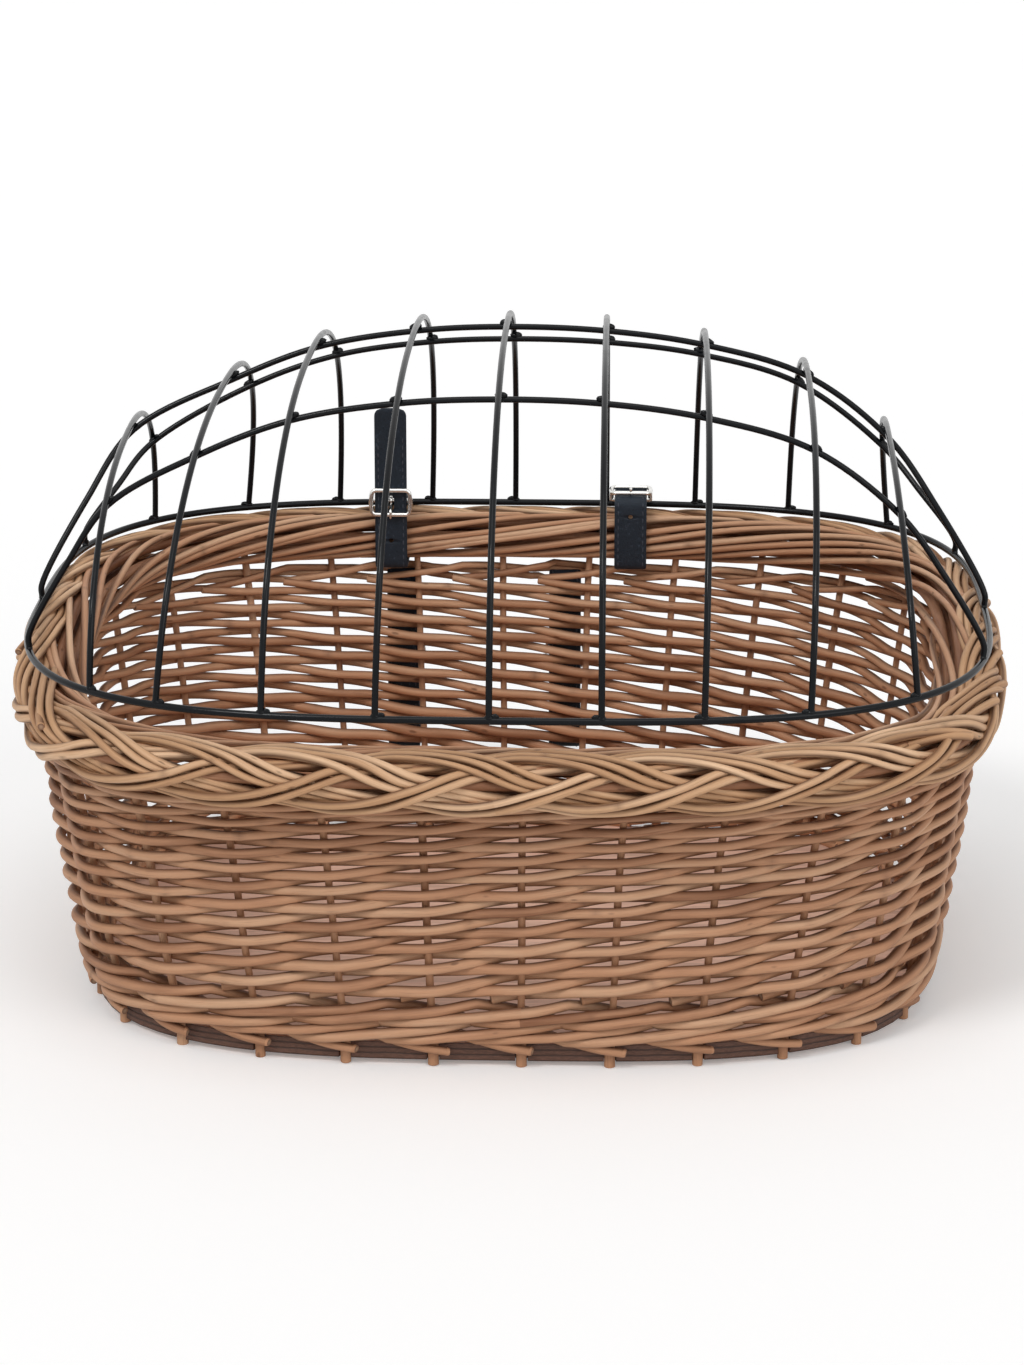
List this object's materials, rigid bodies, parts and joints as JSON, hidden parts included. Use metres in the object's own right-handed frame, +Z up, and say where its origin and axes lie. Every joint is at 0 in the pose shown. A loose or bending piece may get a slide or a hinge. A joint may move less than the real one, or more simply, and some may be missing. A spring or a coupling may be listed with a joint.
{
  "type": "bicycle basket",
  "caption": "Deep oval willow carrier basket on a wooden base, with a plaited rim and a hinged wire dome tied on by buckled leather straps.",
  "frame": {"origin": "middle of the footprint, on the ground under the feet of the stakes", "axes": "+X along the long side, +Y to the back wall where the straps are, +Z up"},
  "size_m": [0.506, 0.4482, 0.3343],
  "materials": {
    "willow": "satin peeled willow rods, warm tan with darker knots",
    "pale_willow": "satin peeled willow rods, paler golden tan",
    "stained_board": "dark red-brown stained plywood, matt edge",
    "black_wire": "gloss black coated steel wire with small weld beads",
    "black_leather": "blue-black leather, low sheen, stitched near both edges",
    "nickel": "polished nickel plate"
  },
  "bodies": {
    "basket": {"base_board": "stained_board", "foot_wale": "willow", "side_weave": "willow", "top_wale": "willow", "border": "pale_willow", "stake_01": "willow", "stake_02": "willow", "stake_03": "willow", "stake_04": "willow", "stake_05": "willow", "stake_06": "willow", "stake_07": "willow", "stake_08": "willow", "stake_09": "willow", "stake_10": "willow", "stake_11": "willow", "stake_12": "willow", "stake_13": "willow", "stake_14": "willow", "stake_15": "willow", "stake_16": "willow", "stake_17": "willow", "stake_18": "willow", "stake_19": "willow", "stake_20": "willow", "stake_21": "willow", "stake_22": "willow", "stake_23": "willow", "stake_24": "willow", "stake_25": "willow", "stake_26": "willow", "stake_27": "willow", "stake_28": "willow", "stake_29": "willow", "stake_30": "willow", "lid_strap_left": "black_leather", "lid_strap_right": "black_leather", "lid_buckle_left": "nickel", "lid_buckle_right": "nickel", "bar_strap_left": "black_leather", "bar_strap_right": "black_leather", "bar_buckle_left": "nickel", "bar_buckle_right": "nickel"},
    "lid": {"lid_ring": "black_wire", "lid_hoop_1": "black_wire", "lid_hoop_2": "black_wire", "lid_hoop_3": "black_wire", "lid_hoop_4": "black_wire", "lid_hoop_5": "black_wire", "lid_hoop_6": "black_wire", "lid_hoop_7": "black_wire", "lid_hoop_8": "black_wire", "lid_hoop_9": "black_wire", "lid_rail_front": "black_wire", "lid_rail_top": "black_wire", "lid_rail_back": "black_wire"},
    "lid_prong_left": {"lid_prong_left": "nickel"},
    "lid_prong_right": {"lid_prong_right": "nickel"},
    "bar_prong_left": {"bar_prong_left": "nickel"},
    "bar_prong_right": {"bar_prong_right": "nickel"}
  },
  "joints": [
    {"name": "lid_hinge", "type": "hinge", "parent": "basket", "child": "lid", "pos_m": [0, 0.2066, 0.1916], "axis": [-1, 0, 0], "range_deg": [0, 95]},
    {"name": "lid_prong_left_pivot", "type": "hinge", "parent": "basket", "child": "lid_prong_left", "pos_m": [-0.0745, 0.18287, 0.1981], "axis": [-1, 0, 0], "range_deg": [0, 60]},
    {"name": "lid_prong_right_pivot", "type": "hinge", "parent": "basket", "child": "lid_prong_right", "pos_m": [0.06, 0.19432, 0.19695], "axis": [-1, 0, 0], "range_deg": [0, 60]},
    {"name": "bar_prong_left_pivot", "type": "hinge", "parent": "basket", "child": "bar_prong_left", "pos_m": [-0.069, 0.20148, 0.102], "axis": [1, 0, 0], "range_deg": [0, 60]},
    {"name": "bar_prong_right_pivot", "type": "hinge", "parent": "basket", "child": "bar_prong_right", "pos_m": [0.023, 0.20221, 0.102], "axis": [1, 0, 0], "range_deg": [0, 60]}
  ]
}
